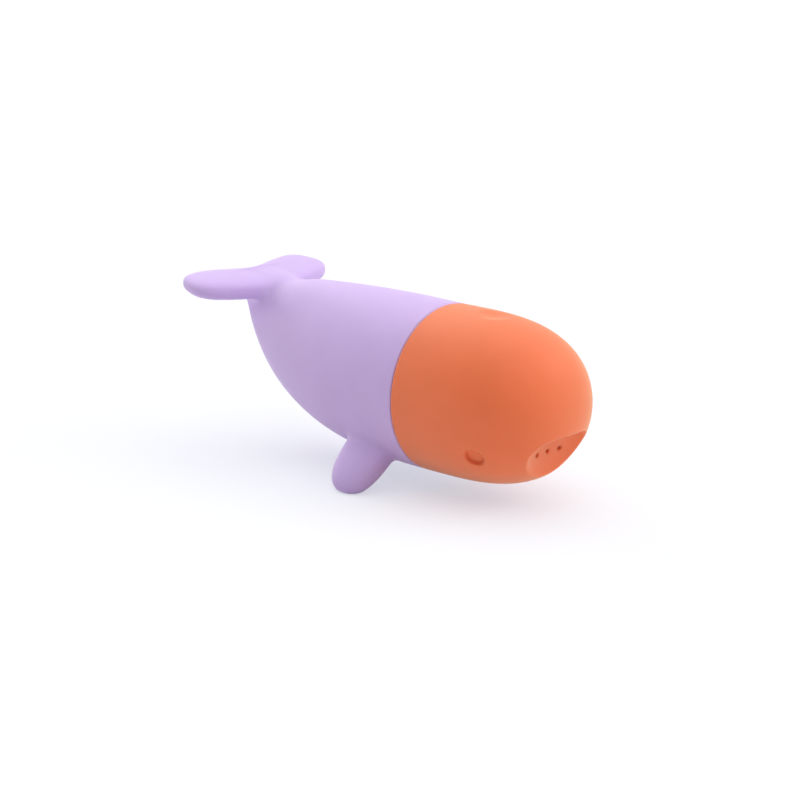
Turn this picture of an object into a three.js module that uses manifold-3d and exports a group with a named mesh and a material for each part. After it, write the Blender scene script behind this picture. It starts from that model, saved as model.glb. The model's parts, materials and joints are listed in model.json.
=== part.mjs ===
// Whale bath toy: a hollow tail half and a hollow head half that push together over a coupling collar
// with a seal ring, so that the toy opens for filling and drying.
// Millimetres, +Z up, +X towards the head. Shapes are drawn about the centre of the seam, and the whole
// toy is then set down with its origin under the middle of its box.
import * as THREE from 'three';
import { mergeVertices } from 'three/addons/utils/BufferGeometryUtils.js';
import Module from 'manifold-3d';

const wasm = await Module();
wasm.setup();

// Seam between the two halves
const SEAM_RADIUS = 37;
const SEAM_GAP = 0.4;
const RIM_ROUND = 0.7;
const RIM_WALL = 2.0;

// Head half
const HEAD_LENGTH = 69;
const HEAD_NOSE_POWER = 3.64;
const HEAD_SIDE_POWER = 2.19;
const HEAD_WALL = 4.4;

// Mouth scoop with its spray jets
const MOUTH_SETBACK = 7.4;
const MOUTH_DROP = 19.4;
const MOUTH_HALF_WIDTH = 18.8;
const MOUTH_HALF_HEIGHT = 14;
const MOUTH_HALF_DEPTH = 6;
const MOUTH_TILT = 16;
const JET_COUNT = 3;
const JET_SPACING = 7.5;
const JET_DIAMETER = 2.2;

// Eye recesses
const EYE_FROM_SEAM = 40.9;
const EYE_ANGLE = 120;
const EYE_DIAMETER = 8.6;
const EYE_DEPTH = 2.2;
const EYE_DOME = 0.4;

// Blowhole dimple
const BLOWHOLE_FROM_SEAM = 26;
const BLOWHOLE_DIAMETER = 12;
const BLOWHOLE_DEPTH = 1.3;

// Tail half
const TAIL_LENGTH = 121;
const TAIL_BELLY_POWER = 2.63;
const TAIL_BELLY_CURVE = 2.19;
const TAIL_SIDE_POWER = 2.36;
const TAIL_SIDE_CURVE = 0.92;
const TAIL_END_DEPTH = 8.9;
const TAIL_END_HALF_WIDTH = 8.2;
const TAIL_BACK_CROWN = 1.3;
const TAIL_BACK_DROP = 3.6;
const TAIL_WALL = 2.4;
const CAVITY_END_WALL = 10;

// Flukes: one slab across the end of the tail, bent back in the middle, so that its two lobes sweep back
const FLUKE_FROM_SEAM = 114.5;
const FLUKE_BELOW_BACK = 6.1;
const FLUKE_SPAN = 40.3;
const FLUKE_SWEEP = 12;
const FLUKE_RISE = 1.5;
const FLUKE_HALF_CHORD = 14.8;
const FLUKE_HALF_THICKNESS = 6.3;
const FLUKE_TIP_POWER = 4.4;
const FLUKE_SECTION_POWER = 3;
const FLUKE_BEND = 0.15;

// Fins: two paddles spread down and out, with flat soles that the toy stands on
const FIN_FROM_SEAM = 21.1;
const FIN_ROOT_RADIUS = 25.7;
const FIN_ROOT_ANGLE = 42.4;
const FIN_LENGTH = 35;
const FIN_DROP_ANGLE = 45.7;
const FIN_SWEEP = 4.1;
const FIN_HALF_CHORD = 12.6;
const FIN_HALF_THICKNESS = 7.8;
const FIN_TIP_POWER = 3.9;
const FIN_SECTION_POWER = 2.4;
const FIN_FLARE = 3;
const FIN_FLARE_REACH = 18;
const SOLE_BELOW_AXIS = 44.2;

// How the flukes and fins close in at their tips
const LOBE_CLOSING_POWER = 2.2;

// Coupling collar and seal ring
const COLLAR_IN_TAIL = 13;
const COLLAR_IN_HEAD = 11;
const COLLAR_CLEARANCE = 0.3;
const COLLAR_FLOOR = 1.4;
const COLLAR_LEAD_IN = 0.6;
const BEAD_FROM_SEAM = 7;
const BEAD_HEIGHT = 0.6;
const SEAL_FROM_SEAM = 5.5;
const SEAL_CORD = 1.8;
const SEAL_CLEARANCE = 0.15;

// Fineness of the facets
const SEGMENTS_AROUND = 40;
const HEAD_STATIONS = 20;
const TAIL_STATIONS = 18;
const CAVITY_STATIONS = 12;
const LOBE_STATIONS = 12;
const LOBE_SEGMENTS = 24;
const MOUTH_SEGMENTS = 36;
const DIMPLE_SEGMENTS = 60;
const EYE_SEGMENTS = 20;
const JET_SEGMENTS = 8;
const SEAL_SEGMENTS = 8;
const SLOPE_STEP = 0.25;
const SHARE_STEP = 0.01;
const OVERCUT = 5;

const HALF_GAP = SEAM_GAP / 2;
const COUNTERBORE_RADIUS = SEAM_RADIUS - RIM_WALL;
const COLLAR_OUTER_RADIUS = COUNTERBORE_RADIUS - COLLAR_CLEARANCE;
const SEAL_RADIUS = COUNTERBORE_RADIUS - SEAL_CLEARANCE - SEAL_CORD / 2;
const GROOVE_RADIUS = SEAL_RADIUS - SEAL_CORD / 2 - SEAL_CLEARANCE;
const GROOVE_HALF_WIDTH = SEAL_CORD / 2 + COLLAR_CLEARANCE;
const COLLAR_INNER_RADIUS = GROOVE_RADIUS - COLLAR_FLOOR;

const LAVENDER = new THREE.MeshStandardMaterial({ color: 0xcbb9e1, roughness: 0.62, metalness: 0 });
const ORANGE = new THREE.MeshStandardMaterial({ color: 0xf0915f, roughness: 0.58, metalness: 0 });
const COLLAR_WHITE = new THREE.MeshStandardMaterial({ color: 0xe9e6ee, roughness: 0.4, metalness: 0 });
const SEAL_GREY = new THREE.MeshStandardMaterial({ color: 0x6d6478, roughness: 0.5, metalness: 0 });

const AXIAL = new THREE.Vector3(1, 0, 0);
const radians = THREE.MathUtils.degToRad;

// Makes a boolean solid of a closed geometry, with its faces turned outwards.
function solid(geometry) {
  const bare = geometry.clone();
  bare.deleteAttribute('normal');
  bare.deleteAttribute('uv');
  const merged = mergeVertices(bare, 1e-4);
  const positions = merged.attributes.position;
  const corners = [];
  let volume = 0;
  const [a, b, c] = [new THREE.Vector3(), new THREE.Vector3(), new THREE.Vector3()];
  for (let i = 0; i < merged.index.count; i += 3) {
    const face = [0, 1, 2].map((k) => merged.index.getX(i + k));
    if (face[0] === face[1] || face[1] === face[2] || face[2] === face[0]) continue;
    corners.push(face);
    [a, b, c].forEach((point, k) => point.fromBufferAttribute(positions, face[k]));
    volume += a.dot(b.cross(c));
  }
  const turned = volume < 0 ? corners.map(([p, q, r]) => [p, r, q]) : corners;
  const triVerts = new Uint32Array(turned.flat());
  const vertProperties = new Float32Array(positions.array);
  return new wasm.Manifold(new wasm.Mesh({ numProp: 3, vertProperties, triVerts }));
}

// Makes a named mesh of a boolean solid.
function meshOf(name, body, material) {
  const { vertProperties, triVerts } = body.getMesh();
  const geometry = new THREE.BufferGeometry();
  geometry.setAttribute('position', new THREE.BufferAttribute(vertProperties, 3));
  geometry.setIndex(new THREE.BufferAttribute(triVerts, 1));
  geometry.computeVertexNormals();
  const mesh = new THREE.Mesh(geometry, material);
  mesh.name = name;
  return mesh;
}

// Revolves [along X, radius] points about the X axis.
function revolve(points, segments = SEGMENTS_AROUND) {
  const profile = points.map(([x, radius]) => new THREE.Vector2(radius, x));
  return new THREE.LatheGeometry(profile, segments).rotateZ(-Math.PI / 2);
}

// Skins a row of closed sections with the same number of points, and closes both ends.
function loft(sections) {
  const around = sections[0].length;
  const points = sections.flat();
  const faces = [];
  for (let i = 0; i + 1 < sections.length; i++) {
    for (let j = 0; j < around; j++) {
      const k = (j + 1) % around;
      const [p, q] = [i * around, (i + 1) * around];
      faces.push(p + j, p + k, q + k, p + j, q + k, q + j);
    }
  }
  for (const end of [0, sections.length - 1]) {
    const hub = points.length;
    const middle = new THREE.Vector3();
    sections[end].forEach((point) => middle.addScaledVector(point, 1 / around));
    points.push(middle);
    for (let j = 0; j < around; j++) {
      const [p, q] = [end * around + j, end * around + ((j + 1) % around)];
      faces.push(...(end === 0 ? [hub, q, p] : [hub, p, q]));
    }
  }
  const geometry = new THREE.BufferGeometry().setFromPoints(points);
  return geometry.setIndex(faces);
}

// Shares from 0 to 1 that crowd towards 1, where a rounded end closes.
function easedShares(count) {
  return Array.from({ length: count + 1 }, (_, i) => Math.sin((Math.PI / 2) * (i / count)));
}

// How far a rim's rounded edge lies inside the full outline at a distance from the seam face.
function rimInset(distance) {
  const inside = Math.max(RIM_ROUND - distance, 0);
  return RIM_ROUND - Math.sqrt(RIM_ROUND ** 2 - inside ** 2);
}

const RIM_STEPS = [0, 0.3, 0.65, 1].map((share) => share * RIM_ROUND);

// Outer radius of the head at a distance from the seam.
function headRadius(x) {
  const share = Math.min(x / HEAD_LENGTH, 1);
  return SEAM_RADIUS * (1 - share ** HEAD_NOSE_POWER) ** (1 / HEAD_SIDE_POWER);
}

// Point on the head's skin and its outward normal, with the angle measured from the top of the head.
function headSurface(x, angle, side) {
  const slope = (headRadius(x + SLOPE_STEP) - headRadius(x - SLOPE_STEP)) / (2 * SLOPE_STEP);
  const radial = new THREE.Vector3(0, side * Math.sin(radians(angle)), Math.cos(radians(angle)));
  const point = radial.clone().multiplyScalar(headRadius(x)).addScaledVector(AXIAL, x);
  const normal = radial.clone().addScaledVector(AXIAL, -slope).normalize();
  return { point, normal };
}

// Moves a shape drawn along +Y to a point, with +Y turned to a direction.
function placeAlong(geometry, point, direction) {
  const turn = new THREE.Quaternion().setFromUnitVectors(new THREE.Vector3(0, 1, 0), direction);
  return geometry.applyQuaternion(turn).translate(point.x, point.y, point.z);
}

function headOutline(count) {
  return easedShares(count).map((share) => [share * HEAD_LENGTH, headRadius(share * HEAD_LENGTH)]);
}

function headSkin() {
  const rim = RIM_STEPS.map((step) => [HALF_GAP + step, headRadius(HALF_GAP + step) - rimInset(step)]);
  const side = headOutline(HEAD_STATIONS).filter(([x]) => x > HALF_GAP + RIM_ROUND);
  return solid(revolve([[HALF_GAP, 0], ...rim, ...side]));
}

// Head cavity: the outline moved inwards by the wall, measured square to the skin.
function headCavity() {
  const outline = headOutline(CAVITY_STATIONS);
  const inner = outline.map(([x, radius], i) => {
    const [before, after] = [outline[Math.max(i - 1, 0)], outline[Math.min(i + 1, outline.length - 1)]];
    const tangent = new THREE.Vector2(after[0] - before[0], after[1] - before[1]).normalize();
    return [x + HEAD_WALL * tangent.y, radius - HEAD_WALL * tangent.x];
  });
  inner[0] = [0, SEAM_RADIUS - HEAD_WALL];
  inner[inner.length - 1] = [HEAD_LENGTH - HEAD_WALL, 0];
  const open = [[-OVERCUT, 0], [-OVERCUT, SEAM_RADIUS - HEAD_WALL]];
  const kept = inner.filter(([, radius], i) => radius > 0 || i === inner.length - 1);
  return solid(revolve([...open, ...kept]));
}

// Lens-shaped cutter of the mouth, grown all round by a margin.
function mouthScoop(margin) {
  const lens = new THREE.SphereGeometry(1, MOUTH_SEGMENTS, MOUTH_SEGMENTS / 2);
  lens.scale(MOUTH_HALF_DEPTH + margin, MOUTH_HALF_WIDTH + margin, MOUTH_HALF_HEIGHT + margin);
  lens.rotateY(radians(MOUTH_TILT));
  return solid(lens.translate(HEAD_LENGTH - MOUTH_SETBACK, 0, -MOUTH_DROP));
}

// Spray jets: bores side by side through the floor of the mouth, square to it.
function jetBores() {
  const aim = AXIAL.clone().applyAxisAngle(new THREE.Vector3(0, 1, 0), radians(MOUTH_TILT));
  const length = 2 * (HEAD_WALL + MOUTH_HALF_DEPTH);
  return Array.from({ length: JET_COUNT }, (_, i) => {
    const y = (i - (JET_COUNT - 1) / 2) * JET_SPACING;
    const middle = new THREE.Vector3(HEAD_LENGTH - MOUTH_SETBACK, y, -MOUTH_DROP);
    middle.addScaledVector(aim, -MOUTH_HALF_DEPTH - HEAD_WALL / 2);
    const bore = new THREE.CylinderGeometry(JET_DIAMETER / 2, JET_DIAMETER / 2, length, JET_SEGMENTS);
    return solid(placeAlong(bore, middle, aim));
  });
}

// Eye: a round recess with an upright wall and a floor that domes back up in the middle.
function eyeRecess(side) {
  const radius = EYE_DIAMETER / 2;
  const floor = [0, 0.35, 0.7, 1].map((share) => {
    return new THREE.Vector2(share * radius, -EYE_DEPTH + EYE_DOME * (1 - share ** 2));
  });
  const profile = [...floor, new THREE.Vector2(radius, OVERCUT), new THREE.Vector2(0, OVERCUT)];
  const { point, normal } = headSurface(EYE_FROM_SEAM, EYE_ANGLE, side);
  return solid(placeAlong(new THREE.LatheGeometry(profile, EYE_SEGMENTS), point, normal));
}

// Blowhole: a shallow finger dimple on top of the head.
function blowhole() {
  const radius = (BLOWHOLE_DIAMETER ** 2 / 4 + BLOWHOLE_DEPTH ** 2) / (2 * BLOWHOLE_DEPTH);
  const { point, normal } = headSurface(BLOWHOLE_FROM_SEAM, 0, 1);
  const centre = point.clone().addScaledVector(normal, radius - BLOWHOLE_DEPTH);
  const ball = new THREE.SphereGeometry(radius, DIMPLE_SEGMENTS, DIMPLE_SEGMENTS);
  return solid(placeAlong(ball, centre, normal));
}

// Bore of a rim for the collar, from past the seam face to the shoulder that the collar ends at.
function collarSeat(reach, direction) {
  const end = direction * (reach + COLLAR_CLEARANCE);
  const start = -direction * OVERCUT;
  return solid(revolve([[start, 0], [start, COUNTERBORE_RADIUS], [end, COUNTERBORE_RADIUS], [end, 0]]));
}

function headShell() {
  const cavity = headCavity().subtract(mouthScoop(HEAD_WALL));
  let body = headSkin().subtract(cavity).subtract(collarSeat(COLLAR_IN_HEAD, 1)).subtract(mouthScoop(0));
  for (const cut of [...jetBores(), eyeRecess(-1), eyeRecess(1), blowhole()]) body = body.subtract(cut);
  return meshOf('head_shell', body, ORANGE);
}

// Outline of the tail at a distance behind the seam: a faintly crowned back that falls away under the
// flukes, and a belly and sides that close in.
function tailOutline(back) {
  const share = back / TAIL_LENGTH;
  const endDepth = TAIL_END_DEPTH * share;
  const endHalfWidth = TAIL_END_HALF_WIDTH * share;
  const bellyShare = (1 - share ** TAIL_BELLY_POWER) ** (1 / TAIL_BELLY_CURVE);
  const sideShare = (1 - share ** TAIL_SIDE_POWER) ** (1 / TAIL_SIDE_CURVE);
  const depth = endDepth + (2 * SEAM_RADIUS - endDepth) * bellyShare;
  const halfWidth = endHalfWidth + (SEAM_RADIUS - endHalfWidth) * sideShare;
  const crown = 4 * TAIL_BACK_CROWN * share * (1 - share);
  const top = SEAM_RADIUS + crown - TAIL_BACK_DROP * share ** 2;
  return { top, bottom: SEAM_RADIUS - depth, halfWidth };
}

// Elliptical section of the tail across X.
function tailSection(x, { top, bottom, halfWidth }) {
  return Array.from({ length: SEGMENTS_AROUND }, (_, j) => {
    const angle = (2 * Math.PI * j) / SEGMENTS_AROUND;
    const z = (top + bottom) / 2 + ((top - bottom) / 2) * Math.cos(angle);
    return new THREE.Vector3(x, halfWidth * Math.sin(angle), z);
  });
}

function tailSkin() {
  const rim = RIM_STEPS.map((step) => {
    const { top, bottom, halfWidth } = tailOutline(HALF_GAP + step);
    const inset = rimInset(step);
    const eased = { top: top - inset, bottom: bottom + inset, halfWidth: halfWidth - inset };
    return tailSection(-HALF_GAP - step, eased);
  });
  const stations = easedShares(TAIL_STATIONS).map((share) => share * TAIL_LENGTH);
  const side = stations.filter((back) => back > HALF_GAP + RIM_ROUND);
  return solid(loft([...rim, ...side.map((back) => tailSection(-back, tailOutline(back)))]));
}

// Tail cavity: each section moved inwards by the wall, measured square to the slope of the skin there.
function tailCavity() {
  const length = TAIL_LENGTH - CAVITY_END_WALL;
  const sections = easedShares(CAVITY_STATIONS).map((share) => {
    const back = share * length;
    const here = tailOutline(back);
    const next = tailOutline(back + SLOPE_STEP);
    const bellySlope = (next.bottom - here.bottom) / SLOPE_STEP;
    const sideSlope = (next.halfWidth - here.halfWidth) / SLOPE_STEP;
    return tailSection(-back, {
      top: here.top - TAIL_WALL,
      bottom: here.bottom + TAIL_WALL * Math.hypot(1, bellySlope),
      halfWidth: here.halfWidth - TAIL_WALL * Math.hypot(1, sideSlope),
    });
  });
  const open = sections[0].map((point) => point.clone().setX(OVERCUT));
  return solid(loft([open, ...sections]));
}

// Turns a cosine or sine into the coordinate of a section between an ellipse and a rectangle.
function rounded(turn, power) {
  return Math.sign(turn) * Math.abs(turn) ** (2 / power);
}

// Rounded paddle along a path, with its chord near to X. Its sections close in towards the path's ends, at
// shares of -1 and 1, and a flare widens them where the path leaves the body.
function paddle({ path, shares, halfChord, halfThickness, powers, flare = () => 0 }) {
  const sections = shares.map((share) => {
    const along = path(share + SHARE_STEP).sub(path(share - SHARE_STEP)).normalize();
    const chord = AXIAL.clone().addScaledVector(along, -AXIAL.dot(along)).normalize();
    const across = new THREE.Vector3().crossVectors(along, chord);
    const closing = Math.max(1 - Math.abs(share) ** powers.tip, 0) ** (1 / LOBE_CLOSING_POWER);
    const halfLength = halfChord * closing + flare(share);
    const halfHeight = halfThickness * closing + flare(share);
    return Array.from({ length: LOBE_SEGMENTS }, (_, j) => {
      const angle = (2 * Math.PI * j) / LOBE_SEGMENTS;
      const forwards = halfLength * rounded(Math.cos(angle), powers.section);
      const upwards = halfHeight * rounded(Math.sin(angle), powers.section);
      return path(share).addScaledVector(chord, forwards).addScaledVector(across, upwards);
    });
  });
  return solid(loft(sections));
}

function flukes() {
  const height = SEAM_RADIUS - FLUKE_BELOW_BACK;
  const path = (share) => {
    const swept = (Math.hypot(share, FLUKE_BEND) - FLUKE_BEND) / (Math.hypot(1, FLUKE_BEND) - FLUKE_BEND);
    const x = -FLUKE_FROM_SEAM - FLUKE_SWEEP * swept;
    return new THREE.Vector3(x, share * FLUKE_SPAN, height + FLUKE_RISE * swept);
  };
  const outwards = easedShares(LOBE_STATIONS);
  const inwards = outwards.slice(1).reverse().map((share) => -share);
  return paddle({
    path,
    shares: [...inwards, ...outwards],
    halfChord: FLUKE_HALF_CHORD,
    halfThickness: FLUKE_HALF_THICKNESS,
    powers: { tip: FLUKE_TIP_POWER, section: FLUKE_SECTION_POWER },
  });
}

function fin(side) {
  const [rootAngle, drop] = [radians(FIN_ROOT_ANGLE), radians(FIN_DROP_ANGLE)];
  const rootY = side * FIN_ROOT_RADIUS * Math.sin(rootAngle);
  const root = new THREE.Vector3(-FIN_FROM_SEAM, rootY, -FIN_ROOT_RADIUS * Math.cos(rootAngle));
  const axis = new THREE.Vector3(-FIN_SWEEP / FIN_LENGTH, side * Math.cos(drop), -Math.sin(drop));
  axis.normalize();
  return paddle({
    path: (share) => root.clone().addScaledVector(axis, share * FIN_LENGTH),
    shares: easedShares(LOBE_STATIONS),
    halfChord: FIN_HALF_CHORD,
    halfThickness: FIN_HALF_THICKNESS,
    powers: { tip: FIN_TIP_POWER, section: FIN_SECTION_POWER },
    flare: (share) => FIN_FLARE * Math.max(1 - (share * FIN_LENGTH) / FIN_FLARE_REACH, 0) ** 2,
  });
}

// Everything below the soles, which leaves them flat.
function belowSoles() {
  const height = FIN_LENGTH;
  const slab = new THREE.BoxGeometry(4 * TAIL_LENGTH, 8 * FIN_LENGTH, height);
  return solid(slab.translate(0, 0, -SOLE_BELOW_AXIS - height / 2));
}

// Half-round bead of the collar, or the groove that it snaps into when a clearance is given.
function beadProfile(clearance) {
  const height = BEAD_HEIGHT + clearance;
  const base = COLLAR_OUTER_RADIUS + (clearance > 0 ? COLLAR_CLEARANCE : 0);
  const rise = height - (clearance > 0 ? COLLAR_CLEARANCE : 0);
  const halfWidth = 2 * BEAD_HEIGHT + clearance;
  return [1, 0.5, 0, -0.5, -1].map((share) => {
    return [-BEAD_FROM_SEAM + share * halfWidth, base + rise * Math.sqrt(1 - share ** 2)];
  });
}

function beadGroove() {
  const profile = beadProfile(2 * COLLAR_CLEARANCE);
  const [front, rear] = [profile[0][0], profile[profile.length - 1][0]];
  return solid(revolve([[front, 0], ...profile, [rear, 0]]));
}

function tailShell() {
  let body = tailSkin().add(flukes()).add(fin(-1)).add(fin(1));
  body = body.subtract(tailCavity()).subtract(collarSeat(COLLAR_IN_TAIL, -1));
  body = body.subtract(beadGroove()).subtract(belowSoles());
  return meshOf('tail_shell', body, LAVENDER);
}

// Collar: a ring in both rims, with the bead that holds it in the tail and the groove of the seal.
function couplingCollar() {
  const tailEnd = -COLLAR_IN_TAIL;
  const headEnd = COLLAR_IN_HEAD;
  const grooveFront = SEAL_FROM_SEAM + GROOVE_HALF_WIDTH;
  const grooveRear = SEAL_FROM_SEAM - GROOVE_HALF_WIDTH;
  const profile = [
    [headEnd, COLLAR_INNER_RADIUS],
    [headEnd, COLLAR_OUTER_RADIUS - COLLAR_LEAD_IN],
    [headEnd - COLLAR_LEAD_IN, COLLAR_OUTER_RADIUS],
    [grooveFront, COLLAR_OUTER_RADIUS],
    [grooveFront, GROOVE_RADIUS],
    [grooveRear, GROOVE_RADIUS],
    [grooveRear, COLLAR_OUTER_RADIUS],
    ...beadProfile(0),
    [tailEnd + COLLAR_LEAD_IN, COLLAR_OUTER_RADIUS],
    [tailEnd, COLLAR_OUTER_RADIUS - COLLAR_LEAD_IN],
    [tailEnd, COLLAR_INNER_RADIUS],
    [headEnd, COLLAR_INNER_RADIUS],
  ];
  return meshOf('coupling_collar', solid(revolve(profile)), COLLAR_WHITE);
}

function sealRing() {
  const ring = new THREE.TorusGeometry(SEAL_RADIUS, SEAL_CORD / 2, SEAL_SEGMENTS, SEGMENTS_AROUND);
  return meshOf('seal_ring', solid(ring.rotateY(Math.PI / 2).translate(SEAL_FROM_SEAM, 0, 0)), SEAL_GREY);
}

const toy = new THREE.Group();
toy.add(tailShell(), couplingCollar(), sealRing(), headShell());

// The toy is set down on its soles, with the origin under the middle of its box.
const box = new THREE.Box3().setFromObject(toy);
const middle = box.getCenter(new THREE.Vector3());
toy.position.set(-middle.x, -middle.y, -box.min.z);

const whale = new THREE.Group();
whale.add(toy);

export default whale;
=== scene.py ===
"""Whale bath toy: soft matte skins for the two halves, a satin collar and a rubber seal ring."""
import json
import math

import bpy
import numpy as np
from mathutils import Matrix, Vector

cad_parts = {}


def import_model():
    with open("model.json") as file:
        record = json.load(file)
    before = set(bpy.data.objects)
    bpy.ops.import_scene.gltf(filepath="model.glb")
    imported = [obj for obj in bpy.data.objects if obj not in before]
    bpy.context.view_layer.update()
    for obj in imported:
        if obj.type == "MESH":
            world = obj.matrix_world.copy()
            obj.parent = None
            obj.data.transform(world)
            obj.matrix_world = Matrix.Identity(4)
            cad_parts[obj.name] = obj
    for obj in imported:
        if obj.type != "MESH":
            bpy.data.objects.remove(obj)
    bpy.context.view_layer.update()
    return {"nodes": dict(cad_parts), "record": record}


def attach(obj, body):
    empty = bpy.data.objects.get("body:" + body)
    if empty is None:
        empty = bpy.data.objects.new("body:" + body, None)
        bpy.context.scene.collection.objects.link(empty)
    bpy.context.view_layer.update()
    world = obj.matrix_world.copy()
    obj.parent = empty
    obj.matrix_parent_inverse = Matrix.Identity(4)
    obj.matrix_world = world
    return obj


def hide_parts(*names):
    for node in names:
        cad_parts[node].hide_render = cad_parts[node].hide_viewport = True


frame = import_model()

# Sizes below are in millimetres about the centre of the seam, with +X towards the head
MM = 0.001
JOINTS = {joint["name"]: joint for joint in frame["record"]["behaviour"]["joints"]}
SEAM_CENTRE = Vector(JOINTS["head_turn"]["pos_m"])
FLOOR_Z = -SEAM_CENTRE.z / MM

# Seam
SEAM_RADIUS = 37.0
HALF_GAP = 0.2
RIM_ROUND = 0.9
SEAT_RADIUS = 35.0
SEAT_CLEARANCE = 0.3

# Head
HEAD_LENGTH = 69.0
HEAD_NOSE_POWER = 3.64
HEAD_SIDE_POWER = 2.19
HEAD_WALL = 4.4
HEAD_SEAT = 11.0

# Mouth and its spray jets
MOUTH_CENTRE = (61.6, 0.0, -19.4)
MOUTH_HALF_SIZES = (6.0, 18.8, 14.0)
MOUTH_TILT = math.radians(16)
MOUTH_LIP_ROUND = 1.0
JET_RADIUS = 1.1
JET_PLACES = (-7.5, 0.0, 7.5)
JET_EDGE_ROUND = 0.5

# Eyes, with their angle from the top
EYE_FROM_SEAM = 40.9
EYE_ANGLE = math.radians(120)
EYE_RADIUS = 4.3
EYE_DEPTH = 2.2
EYE_DOME = 0.4
EYE_EDGE_ROUND = 0.6
EYE_FLOOR_ROUND = 0.5

# Blowhole dimple
BLOWHOLE_FROM_SEAM = 26.0
BLOWHOLE_RADIUS = 6.0
BLOWHOLE_DEPTH = 1.3
BLOWHOLE_EDGE_ROUND = 1.8

# Tail: powers and curves shape it along its length, and the root is its share before the flukes
TAIL_LENGTH = 121.0
TAIL_BELLY_POWER = 2.63
TAIL_BELLY_CURVE = 2.19
TAIL_SIDE_POWER = 2.36
TAIL_SIDE_CURVE = 0.92
TAIL_END_DEPTH = 8.9
TAIL_END_HALF_WIDTH = 8.2
TAIL_END_HALF_DEPTH = 4.5
TAIL_END_ROUND = 6.0
TAIL_BACK_CROWN = 1.3
TAIL_BACK_DROP = 3.6
TAIL_ROOT_FROM = 0.66
TAIL_ROOT_DROP = 1.5
TAIL_WALL = 2.4
TAIL_SEAT = 13.0
CAVITY_END = 111.0
TAIL_LAST_SHARE = 0.9995

# Flukes: one bent slab, with its rear edge pitched up
FLUKE_FROM_SEAM = 114.5
FLUKE_HEIGHT = 31.1
FLUKE_SPAN = 40.2
FLUKE_SWEEP = 11.3
FLUKE_RISE = 1.8
FLUKE_BEND = 0.15
FLUKE_PITCH = 0.13
FLUKE_HALF_CHORD = 12.9
FLUKE_HALF_THICKNESS = 5.2
FLUKE_TIP_POWER = 5.5
FLUKE_SECTION_POWER = 3.0
FLUKE_FILLET = 6.0
FLUKE_REACH = 18.0
FLUKE_PATH_STEPS = 4

# Fins and the flat soles under them
FIN_ROOT_RADIUS = 25.7
FIN_ROOT_ANGLE = math.radians(42.4)
FIN_FROM_SEAM = 21.1
FIN_LENGTH = 35.0
FIN_DROP = math.radians(45.7)
FIN_SWEEP = 4.1
FIN_HALF_CHORD = 12.6
FIN_HALF_THICKNESS = 7.8
FIN_TIP_POWER = 3.9
FIN_SECTION_POWER = 2.3
FIN_OVERLAP = 4.5
FIN_FILLET = 3.5
SOLE_ROUND = 1.2

# Fineness of the skins, and the boxes that they are sought in
HEAD_CELL = 0.7
TAIL_CELL = 0.9
RIM_CELL = 0.35
RIM_BAND = 1.6
RIM_MARGIN = 0.5
HEAD_MARGIN_AHEAD = 1.0
HEAD_MARGIN_ASIDE = 2.0
TAIL_MARGIN_BEHIND = 20.0
TAIL_MARGIN_BELOW = 1.3
TAIL_BOX_ASIDE = 50.0
TAIL_BOX_TOP = 46.0

# How a skin settles onto its surface
LEAST_SLOPE = 0.004
LEAST_SLOPE_SQUARED = 0.05
SLOPE_STEP = 0.05
SETTLE_STEPS = 4
SETTLE_SLOPE_STEP = 0.02
LONGEST_MOVE = 0.3

# Camera: where it stands from the seam, and its lens
CAMERA_AZIMUTH = math.radians(43.0)
CAMERA_ELEVATION = math.radians(15.3)
CAMERA_DISTANCE = 775.4
CAMERA_RIGHT = -20.9
CAMERA_UP = -5.7
CAMERA_LENS = 80.0
CAMERA_SENSOR = 36.0

# Colours from 0 to 255
LAVENDER_COLOUR = (204, 178, 229)
ORANGE_COLOUR = (238, 118, 74)
COLLAR_COLOUR = (232, 229, 238)
SEAL_COLOUR = (110, 100, 121)

# Soft matte silicone: how far light of each colour spreads inside, and the pale bloom on its surface
LAVENDER_GLOW = (1.0, 0.7, 1.0)
ORANGE_GLOW = (1.0, 0.35, 0.2)
LAVENDER_BLOOM = (1.0, 1.0, 1.0)
ORANGE_BLOOM = (1.0, 0.75, 0.5)
LAVENDER_BLOOM_WEIGHT = 0.12
ORANGE_BLOOM_WEIGHT = 0.6
BLOOM_ROUGHNESS = 0.5
SILICONE_ROUGHNESS = 0.5
SILICONE_GLOSS = 0.2
GLOW_WEIGHT = 0.25
GLOW_DEPTH = 0.004
COLLAR_ROUGHNESS = 0.36
SEAL_ROUGHNESS = 0.55

# Moulded grain as scale, strength and depth in metres, and the pigment's faint clouds
SILICONE_GRAIN = (1400.0, 0.12, 0.0002)
COLLAR_GRAIN = (900.0, 0.05, 0.0001)
SEAL_GRAIN = (2200.0, 0.15, 0.0002)
GRAIN_DETAIL = 3.0
SILICONE_MOTTLE = 0.02
COLLAR_MOTTLE = 0.015
SEAL_MOTTLE = 0.06
MOTTLE_SCALE = 55.0
MOTTLE_DETAIL = 4.0
MOTTLE_RANGE = (0.3, 0.7)

# Lamps: name, direction that it stands in, spread in degrees and strength
LAMPS = (
    ("key", (0.2, 0.15, 1.0), 100, 2.9),
    ("side", (0.7, 0.6, 0.5), 40, 0.6),
    ("rim", (-1.0, 0.05, 0.2), 70, 1.7),
)
WORLD_STRENGTH = 0.09
WHITE = (1.0, 1.0, 1.0, 1.0)

# Floor in metres: the light it throws back, what it reflects to the eye, and what shows in deep shadow
FLOOR_HALF = 12.0
FLOOR_BOUNCE = (0.9, 0.9, 0.9, 1.0)
FLOOR_ROUGHNESS = 0.9
FLOOR_SHADE = (0.385, 0.385, 0.37, 1.0)
FLOOR_LIFT = (0.55, 0.565, 0.62, 1.0)


# Fields: each takes arrays x, y, z and gives about the distance to a surface, negative inside
def soft_min(a, b, blend):
    overlap = np.maximum(blend - np.abs(a - b), 0.0) / blend
    return np.minimum(a, b) - overlap * overlap * blend / 4


def soft_max(a, b, blend):
    return -soft_min(-a, -b, blend)


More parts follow.
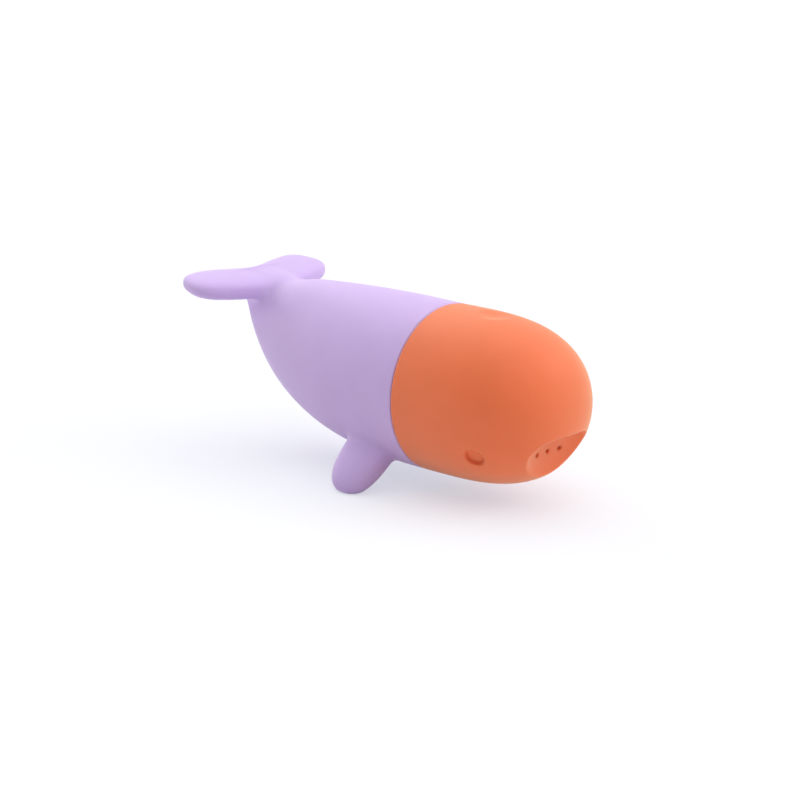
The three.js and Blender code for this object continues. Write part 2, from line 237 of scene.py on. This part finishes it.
def as_distance(value, slope):
    return value / np.maximum(slope, LEAST_SLOPE)


def measured(value, x, y, z):
    """About the distance to where a smooth value is nought."""
    step = SLOPE_STEP
    slopes = [
        (value(x + step, y, z) - value(x - step, y, z)) / (2 * step),
        (value(x, y + step, z) - value(x, y - step, z)) / (2 * step),
        (value(x, y, z + step) - value(x, y, z - step)) / (2 * step),
    ]
    return as_distance(value(x, y, z), np.sqrt(sum(slope * slope for slope in slopes)))


def head_outline(x, y, z):
    share = np.maximum(x, 0.0) / HEAD_LENGTH
    radius = np.hypot(y, z)
    ring = radius / SEAM_RADIUS
    value = share ** HEAD_NOSE_POWER + ring ** HEAD_SIDE_POWER - 1
    slope_x = HEAD_NOSE_POWER / HEAD_LENGTH * share ** (HEAD_NOSE_POWER - 1)
    slope_r = HEAD_SIDE_POWER / SEAM_RADIUS * ring ** (HEAD_SIDE_POWER - 1)
    return as_distance(value, np.hypot(slope_x, slope_r))


def head_radius(x):
    return SEAM_RADIUS * (1 - (x / HEAD_LENGTH) ** HEAD_NOSE_POWER) ** (1 / HEAD_SIDE_POWER)


def head_point(x, angle, side):
    """Point on the head and its normal, with the angle measured from the top."""
    step = 0.1
    slope = (head_radius(x + step) - head_radius(x - step)) / (2 * step)
    radial = np.array([0.0, side * math.sin(angle), math.cos(angle)])
    normal = radial - np.array([slope, 0.0, 0.0])
    return radial * head_radius(x) + np.array([x, 0.0, 0.0]), normal / np.linalg.norm(normal)


def mouth_axes(x, y, z):
    """Coordinates along the mouth's aim, across it and up its face."""
    dx, dz = x - MOUTH_CENTRE[0], z - MOUTH_CENTRE[2]
    aim = dx * math.cos(MOUTH_TILT) - dz * math.sin(MOUTH_TILT)
    up = dx * math.sin(MOUTH_TILT) + dz * math.cos(MOUTH_TILT)
    return aim, y, up


def mouth_lens(x, y, z, margin=0.0):
    parts = zip(mouth_axes(x, y, z), MOUTH_HALF_SIZES)
    scaled = [(value, half + margin) for value, half in parts]
    value = sum((v / h) ** 2 for v, h in scaled) - 1
    slope = np.sqrt(sum((2 * v / h ** 2) ** 2 for v, h in scaled))
    return as_distance(value, slope)


def jets(x, y, z):
    aim, across, up = mouth_axes(x, y, z)
    bores = [np.hypot(across - place, up) - JET_RADIUS for place in JET_PLACES]
    return np.maximum(np.minimum.reduce(bores), aim)


def eye(x, y, z, side):
    point, normal = head_point(EYE_FROM_SEAM, EYE_ANGLE, side)
    dx, dy, dz = x - point[0], y - point[1], z - point[2]
    height = dx * normal[0] + dy * normal[1] + dz * normal[2]
    reach = np.sqrt(np.maximum(dx * dx + dy * dy + dz * dz - height * height, 0.0))
    floor = -EYE_DEPTH + EYE_DOME * np.maximum(1 - (reach / EYE_RADIUS) ** 2, 0.0)
    return soft_max(reach - EYE_RADIUS, floor - height, EYE_FLOOR_ROUND)


def blowhole(x, y, z):
    radius = (BLOWHOLE_RADIUS ** 2 + BLOWHOLE_DEPTH ** 2) / (2 * BLOWHOLE_DEPTH)
    point, normal = head_point(BLOWHOLE_FROM_SEAM, 0.0, 1)
    centre = point + normal * (radius - BLOWHOLE_DEPTH)
    return np.sqrt((x - centre[0]) ** 2 + (y - centre[1]) ** 2 + (z - centre[2]) ** 2) - radius


def head_field(x, y, z):
    outline = head_outline(x, y, z)
    skin = soft_max(outline, HALF_GAP - x, RIM_ROUND)
    skin = soft_max(skin, -mouth_lens(x, y, z), MOUTH_LIP_ROUND)
    skin = soft_max(skin, -blowhole(x, y, z), BLOWHOLE_EDGE_ROUND)
    for side in (-1, 1):
        skin = soft_max(skin, -eye(x, y, z, side), EYE_EDGE_ROUND)
    radius = np.hypot(y, z)
    cavity = np.maximum(outline + HEAD_WALL, -mouth_lens(x, y, z, HEAD_WALL))
    seat = np.maximum(radius - SEAT_RADIUS, x - HEAD_SEAT - SEAT_CLEARANCE)
    skin = np.maximum(skin, -np.minimum(cavity, seat))
    return soft_max(skin, -jets(x, y, z), JET_EDGE_ROUND)


def tail_outline(x, y, z):
    def value(px, py, pz):
        share = np.clip(-px / TAIL_LENGTH, 0.0, TAIL_LAST_SHARE)
        end_depth = TAIL_END_DEPTH * share
        end_width = TAIL_END_HALF_WIDTH * share
        belly = (1 - share ** TAIL_BELLY_POWER) ** (1 / TAIL_BELLY_CURVE)
        sides = (1 - share ** TAIL_SIDE_POWER) ** (1 / TAIL_SIDE_CURVE)
        crown = 4 * TAIL_BACK_CROWN * share * (1 - share) - TAIL_BACK_DROP * share * share
        root = np.maximum(share - TAIL_ROOT_FROM, 0.0) / (1 - TAIL_ROOT_FROM)
        crown = crown - TAIL_ROOT_DROP * (4 * root * (1 - root)) ** 2
        half_depth = (end_depth + (2 * SEAM_RADIUS - end_depth) * belly + crown) / 2
        half_depth = np.maximum(half_depth, TAIL_END_HALF_DEPTH)
        half_width = end_width + (SEAM_RADIUS - end_width) * sides
        return np.hypot(py / half_width, (pz - SEAM_RADIUS - crown + half_depth) / half_depth) - 1

    return soft_max(measured(value, x, y, z), -TAIL_LENGTH - x, TAIL_END_ROUND)


def lobe(x, y, z, root, axis, halves, powers):
    """Rounded paddle from a root along an axis: half sizes along it, along its chord and through it."""
    along = np.array(axis) / np.linalg.norm(axis)
    chord = np.array([1.0, 0.0, 0.0]) - along * along[0]
    chord = chord / np.linalg.norm(chord)
    across = np.cross(along, chord)
    delta = (x - root[0], y - root[1], z - root[2])
    s, u, v = (sum(d * a for d, a in zip(delta, way)) for way in (along, chord, across))
    shares = [np.abs(way) / half for way, half in zip((np.maximum(s, 0.0), u, v), halves)]
    value = sum(share ** power for share, power in zip(shares, powers)) - 1
    slopes = [power / half * share ** (power - 1) for share, power, half in zip(shares, powers, halves)]
    slope = np.sqrt(sum(part * part for part in slopes))
    return np.maximum(as_distance(value, slope), -s - FIN_OVERLAP)


def fluke_path(along):
    """Sweep of the flukes' middle line from 0 to 1, and its slope, at a distance to the side."""
    share = along / FLUKE_SPAN
    reach = math.hypot(1, FLUKE_BEND) - FLUKE_BEND
    length = np.hypot(share, FLUKE_BEND)
    return (length - FLUKE_BEND) / reach, share / length / reach / FLUKE_SPAN


def flukes(x, y, z):
    def value(px, py, pz):
        along = py + 0 * px
        for _ in range(FLUKE_PATH_STEPS):
            swept, slope = fluke_path(along)
            offset = np.clip(px + FLUKE_FROM_SEAM + FLUKE_SWEEP * swept, -FLUKE_REACH, FLUKE_REACH)
            along = (along + py - offset * FLUKE_SWEEP * slope) / 2
        swept, slope = fluke_path(along)
        chord = (px + FLUKE_FROM_SEAM + FLUKE_SWEEP * swept) * np.hypot(1, FLUKE_SWEEP * slope)
        through = pz - FLUKE_HEIGHT - FLUKE_RISE * swept + FLUKE_PITCH * chord
        parts = (
            (along, FLUKE_SPAN, FLUKE_TIP_POWER),
            (chord, FLUKE_HALF_CHORD, FLUKE_SECTION_POWER),
            (through, FLUKE_HALF_THICKNESS, FLUKE_SECTION_POWER),
        )
        return sum((np.abs(place) / half) ** power for place, half, power in parts) - 1

    return measured(value, x, y, z)


def fin(x, y, z, side):
    root_y = side * FIN_ROOT_RADIUS * math.sin(FIN_ROOT_ANGLE)
    root = (-FIN_FROM_SEAM, root_y, -FIN_ROOT_RADIUS * math.cos(FIN_ROOT_ANGLE))
    axis = (-FIN_SWEEP / FIN_LENGTH, side * math.cos(FIN_DROP), -math.sin(FIN_DROP))
    halves = (FIN_LENGTH, FIN_HALF_CHORD, FIN_HALF_THICKNESS)
    powers = (FIN_TIP_POWER, FIN_SECTION_POWER, FIN_SECTION_POWER)
    return lobe(x, y, z, root, axis, halves, powers)


def tail_field(x, y, z):
    body = tail_outline(x, y, z)
    skin = soft_min(body, flukes(x, y, z), FLUKE_FILLET)
    for side in (-1, 1):
        skin = soft_min(skin, fin(x, y, z, side), FIN_FILLET)
    skin = soft_max(skin, FLOOR_Z - z, SOLE_ROUND)
    skin = soft_max(skin, x + HALF_GAP, RIM_ROUND)
    radius = np.hypot(y, z)
    cavity = np.maximum(body + TAIL_WALL, -CAVITY_END - x)
    seat = np.maximum(radius - SEAT_RADIUS, -TAIL_SEAT - SEAT_CLEARANCE - x)
    return np.maximum(skin, -np.minimum(cavity, seat))


# Meshing: one vertex in each cell that the surface crosses, moved onto the surface
CORNERS = [(i, j, k) for i in (0, 1) for j in (0, 1) for k in (0, 1)]


def ruler(lower, upper, cell):
    return np.linspace(lower, upper, int(math.ceil((upper - lower) / cell)) + 1)


def crossed_cells(inside):
    """Cells with corners on both sides of the surface, and the number of cells each way."""
    shape = tuple(n - 1 for n in inside.shape)
    count = sum(
        inside[tuple(slice(o, o + n) for o, n in zip(corner, shape))].astype(np.int8) for corner in CORNERS
    )
    return np.argwhere((count > 0) & (count < len(CORNERS))), shape


def first_points(values, cells, rulers):
    """Middle of the places where the surface crosses each cell's edges."""
    totals = np.zeros((len(cells), 3))
    hits = np.zeros(len(cells))
    for start in CORNERS:
        for axis in range(3):
            if start[axis]:
                continue
            end = tuple(o + (a == axis) for a, o in enumerate(start))
            a = values[tuple((cells + start).T)]
            b = values[tuple((cells + end).T)]
            crossed = (a < 0) != (b < 0)
            share = np.where(crossed, a / np.where(crossed, a - b, 1.0), 0.0)
            for k, steps in enumerate(rulers):
                low = steps[cells[:, k] + start[k]]
                high = steps[cells[:, k] + end[k]]
                totals[:, k] += np.where(crossed, low + share * (high - low), 0.0)
            hits += crossed
    return totals / hits[:, None]


def faces_between(inside, index):
    """A face between the four cells around each grid edge that the surface crosses."""
    faces = []
    for axis in range(3):
        u, v = (axis + 1) % 3, (axis + 2) % 3
        near = [slice(1, -1)] * 3
        near[axis] = slice(0, -1)
        far = list(near)
        far[axis] = slice(1, None)
        a, b = inside[tuple(near)], inside[tuple(far)]
        for first, flip in ((a & ~b, False), (~a & b, True)):
            at = np.argwhere(first)
            at[:, u] += 1
            at[:, v] += 1
            ring = []
            for du, dv in ((-1, -1), (0, -1), (0, 0), (-1, 0)):
                cell = at.copy()
                cell[:, u] += du
                cell[:, v] += dv
                ring.append(index[tuple(cell.T)])
            quads = np.stack(ring, axis=1)
            faces.append(quads[:, ::-1] if flip else quads)
    return np.concatenate(faces)


def surface_mesh(name, field, rulers):
    xs, ys, zs = rulers
    values = field(xs[:, None, None], ys[None, :, None], zs[None, None, :])
    values = np.broadcast_to(values, (len(xs), len(ys), len(zs)))
    inside = values < 0
    cells, shape = crossed_cells(inside)
    index = -np.ones(shape, dtype=np.int64)
    index[tuple(cells.T)] = np.arange(len(cells))
    points = settle(first_points(values, cells, rulers), field)
    quads = faces_between(inside, index)
    mesh = bpy.data.meshes.new(name)
    places = points * MM + np.array(SEAM_CENTRE)
    mesh.from_pydata(places.tolist(), [], quads.tolist())
    mesh.shade_smooth()
    mesh.update()
    piece = bpy.data.objects.new(name, mesh)
    bpy.context.scene.collection.objects.link(piece)
    return piece


def settle(points, field):
    """Newton steps along the field's slope, each of limited length."""
    step = SETTLE_SLOPE_STEP
    for _ in range(SETTLE_STEPS):
        here = field(*points.T)
        slope = np.stack([
            field(*(points + step * way).T) - field(*(points - step * way).T) for way in np.eye(3)
        ], axis=1) / (2 * step)
        move = (here / np.maximum((slope ** 2).sum(axis=1), LEAST_SLOPE_SQUARED))[:, None] * slope
        size = np.linalg.norm(move, axis=1, keepdims=True)
        points = points - move * np.minimum(1.0, LONGEST_MOVE / np.maximum(size, 1e-9))
    return points


def head_skin():
    reach = SEAM_RADIUS + HEAD_MARGIN_ASIDE
    rim = ruler(-RIM_MARGIN, RIM_BAND, RIM_CELL)
    along = np.concatenate([rim, ruler(RIM_BAND, HEAD_LENGTH + HEAD_MARGIN_AHEAD, HEAD_CELL)[1:]])
    aside = ruler(-reach, reach, HEAD_CELL)
    return surface_mesh("head_skin", head_field, (along, aside, aside))


def tail_skin():
    back = ruler(-TAIL_LENGTH - TAIL_MARGIN_BEHIND, -RIM_BAND, TAIL_CELL)
    along = np.concatenate([back, ruler(-RIM_BAND, RIM_MARGIN, RIM_CELL)[1:]])
    aside = ruler(-TAIL_BOX_ASIDE, TAIL_BOX_ASIDE, TAIL_CELL)
    up = ruler(FLOOR_Z - TAIL_MARGIN_BELOW, TAIL_BOX_TOP, TAIL_CELL)
    return surface_mesh("tail_skin", tail_field, (along, aside, up))


# Materials
def principled(name, colour, roughness):
    material = bpy.data.materials.new(name)
    material.use_nodes = True
    shader = material.node_tree.nodes["Principled BSDF"]
    shader.inputs["Base Color"].default_value = (*colour, 1.0)
    shader.inputs["Roughness"].default_value = roughness
    return material, material.node_tree, shader


def linear(*srgb):
    """Linear colour of an sRGB colour from 0 to 255."""
    parts = [value / 255 for value in srgb]
    return tuple(c / 12.92 if c <= 0.04045 else ((c + 0.055) / 1.055) ** 2.4 for c in parts)


def add_grain(tree, shader, scale, strength, distance):
    """Fine moulded grain as bump, in the object's own coordinates."""
    place = tree.nodes.new("ShaderNodeTexCoord")
    noise = tree.nodes.new("ShaderNodeTexNoise")
    noise.inputs["Scale"].default_value = scale
    noise.inputs["Detail"].default_value = GRAIN_DETAIL
    bump = tree.nodes.new("ShaderNodeBump")
    bump.inputs["Strength"].default_value = strength
    bump.inputs["Distance"].default_value = distance
    tree.links.new(place.outputs["Object"], noise.inputs["Vector"])
    tree.links.new(noise.outputs["Fac"], bump.inputs["Height"])
    tree.links.new(bump.outputs["Normal"], shader.inputs["Normal"])
    return place


def add_mottle(tree, shader, place, colour, change):
    """Faint cloudy change of colour, as a moulded pigment has."""
    noise = tree.nodes.new("ShaderNodeTexNoise")
    noise.inputs["Scale"].default_value = MOTTLE_SCALE
    noise.inputs["Detail"].default_value = MOTTLE_DETAIL
    ramp = tree.nodes.new("ShaderNodeValToRGB")
    ramp.color_ramp.elements[0].position = MOTTLE_RANGE[0]
    ramp.color_ramp.elements[1].position = MOTTLE_RANGE[1]
    ramp.color_ramp.elements[0].color = (*(c * (1 - change) for c in colour), 1.0)
    ramp.color_ramp.elements[1].color = (*(min(c * (1 + change), 1.0) for c in colour), 1.0)
    tree.links.new(place.outputs["Object"], noise.inputs["Vector"])
    tree.links.new(noise.outputs["Fac"], ramp.inputs["Fac"])
    tree.links.new(ramp.outputs["Color"], shader.inputs["Base Color"])


def moulded(name, colour, roughness, grain, mottle):
    material, tree, shader = principled(name, colour, roughness)
    place = add_grain(tree, shader, *grain)
    add_mottle(tree, shader, place, colour, mottle)
    return material, shader


def silicone(name, colour, glow, bloom, bloom_weight):
    material, shader = moulded(name, colour, SILICONE_ROUGHNESS, SILICONE_GRAIN, SILICONE_MOTTLE)
    shader.inputs["Subsurface Weight"].default_value = GLOW_WEIGHT
    shader.inputs["Subsurface Radius"].default_value = glow
    shader.inputs["Subsurface Scale"].default_value = GLOW_DEPTH
    shader.inputs["Specular IOR Level"].default_value = SILICONE_GLOSS
    shader.inputs["Sheen Weight"].default_value = bloom_weight
    shader.inputs["Sheen Tint"].default_value = (*bloom, 1.0)
    shader.inputs["Sheen Roughness"].default_value = BLOOM_ROUGHNESS
    return material


lavender = silicone(
    "lavender_silicone", linear(*LAVENDER_COLOUR), LAVENDER_GLOW, LAVENDER_BLOOM, LAVENDER_BLOOM_WEIGHT
)
orange = silicone("orange_silicone", linear(*ORANGE_COLOUR), ORANGE_GLOW, ORANGE_BLOOM, ORANGE_BLOOM_WEIGHT)
collar, _ = moulded("collar_plastic", linear(*COLLAR_COLOUR), COLLAR_ROUGHNESS, COLLAR_GRAIN, COLLAR_MOTTLE)
seal, _ = moulded("seal_rubber", linear(*SEAL_COLOUR), SEAL_ROUGHNESS, SEAL_GRAIN, SEAL_MOTTLE)

tail_piece = tail_skin()
tail_piece.data.materials.append(lavender)
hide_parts("tail_shell")
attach(tail_piece, "tail")

head_piece = head_skin()
head_piece.data.materials.append(orange)
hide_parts("head_shell")
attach(head_piece, "head")

for node, material in (("coupling_collar", collar), ("seal_ring", seal)):
    mesh = frame["nodes"][node].data
    mesh.materials.clear()
    mesh.materials.append(material)


# Camera, light and floor
def camera():
    a, e = CAMERA_AZIMUTH, CAMERA_ELEVATION
    back = Vector((math.sin(a) * math.cos(e), -math.cos(a) * math.cos(e), math.sin(e)))
    right = Vector((math.cos(a), math.sin(a), 0.0))
    up = back.cross(right)
    eye_point = SEAM_CENTRE + MM * (CAMERA_DISTANCE * back + CAMERA_RIGHT * right + CAMERA_UP * up)
    data = bpy.data.cameras.new("camera")
    data.lens = CAMERA_LENS
    data.sensor_width = CAMERA_SENSOR
    data.sensor_fit = "HORIZONTAL"
    item = bpy.data.objects.new("camera", data)
    turn = Matrix((right, up, back)).transposed().to_4x4()
    item.matrix_world = Matrix.Translation(eye_point) @ turn
    bpy.context.scene.collection.objects.link(item)
    bpy.context.scene.camera = item


def skylight(name, towards, spread, strength):
    """A broad lamp far away, in the direction that it stands in."""
    data = bpy.data.lights.new(name, "SUN")
    data.angle = spread
    data.energy = strength
    item = bpy.data.objects.new(name, data)
    item.rotation_euler = Vector(towards).to_track_quat("Z", "Y").to_euler()
    bpy.context.scene.collection.objects.link(item)


def seen_directly(tree):
    """One where a camera, mirror or glass ray looks at the surface, and nought for its light."""
    path = tree.nodes.new("ShaderNodeLightPath")
    first = tree.nodes.new("ShaderNodeMath")
    first.operation = "MAXIMUM"
    second = tree.nodes.new("ShaderNodeMath")
    second.operation = "MAXIMUM"
    tree.links.new(path.outputs["Is Camera Ray"], first.inputs[0])
    tree.links.new(path.outputs["Is Glossy Ray"], first.inputs[1])
    tree.links.new(first.outputs[0], second.inputs[0])
    tree.links.new(path.outputs["Is Transmission Ray"], second.inputs[1])
    return second.outputs[0]


def world():
    item = bpy.data.worlds.new("studio")
    item.use_nodes = True
    tree = item.node_tree
    dim = tree.nodes["Background"]
    dim.inputs["Color"].default_value = WHITE
    dim.inputs["Strength"].default_value = WORLD_STRENGTH
    white = tree.nodes.new("ShaderNodeBackground")
    white.inputs["Color"].default_value = WHITE
    white.inputs["Strength"].default_value = 1.0
    mix = tree.nodes.new("ShaderNodeMixShader")
    tree.links.new(seen_directly(tree), mix.inputs["Fac"])
    tree.links.new(dim.outputs[0], mix.inputs[1])
    tree.links.new(white.outputs[0], mix.inputs[2])
    tree.links.new(mix.outputs[0], tree.nodes["World Output"].inputs["Surface"])
    bpy.context.scene.world = item


def floor():
    mesh = bpy.data.meshes.new("floor")
    half = FLOOR_HALF
    corners = [(-half, -half, 0), (half, -half, 0), (half, half, 0), (-half, half, 0)]
    mesh.from_pydata(corners, [], [(0, 1, 2, 3)])
    item = bpy.data.objects.new("floor", mesh)
    material = bpy.data.materials.new("floor_white")
    material.use_nodes = True
    tree = material.node_tree
    bright = tree.nodes["Principled BSDF"]
    bright.inputs["Base Color"].default_value = FLOOR_BOUNCE
    bright.inputs["Roughness"].default_value = FLOOR_ROUGHNESS
    bright.inputs["Specular IOR Level"].default_value = 0.0
    shade = tree.nodes.new("ShaderNodeBsdfDiffuse")
    shade.inputs["Color"].default_value = FLOOR_SHADE
    lift = tree.nodes.new("ShaderNodeEmission")
    lift.inputs["Color"].default_value = FLOOR_LIFT
    lift.inputs["Strength"].default_value = 1.0
    seen = tree.nodes.new("ShaderNodeAddShader")
    tree.links.new(shade.outputs[0], seen.inputs[0])
    tree.links.new(lift.outputs[0], seen.inputs[1])
    mix = tree.nodes.new("ShaderNodeMixShader")
    tree.links.new(seen_directly(tree), mix.inputs["Fac"])
    tree.links.new(bright.outputs[0], mix.inputs[1])
    tree.links.new(seen.outputs[0], mix.inputs[2])
    tree.links.new(mix.outputs[0], tree.nodes["Material Output"].inputs["Surface"])
    mesh.materials.append(material)
    bpy.context.scene.collection.objects.link(item)


camera()
world()
floor()
for lamp, towards, degrees, strength in LAMPS:
    skylight(lamp, towards, math.radians(degrees), strength)

bpy.context.scene.view_settings.view_transform = "Standard"
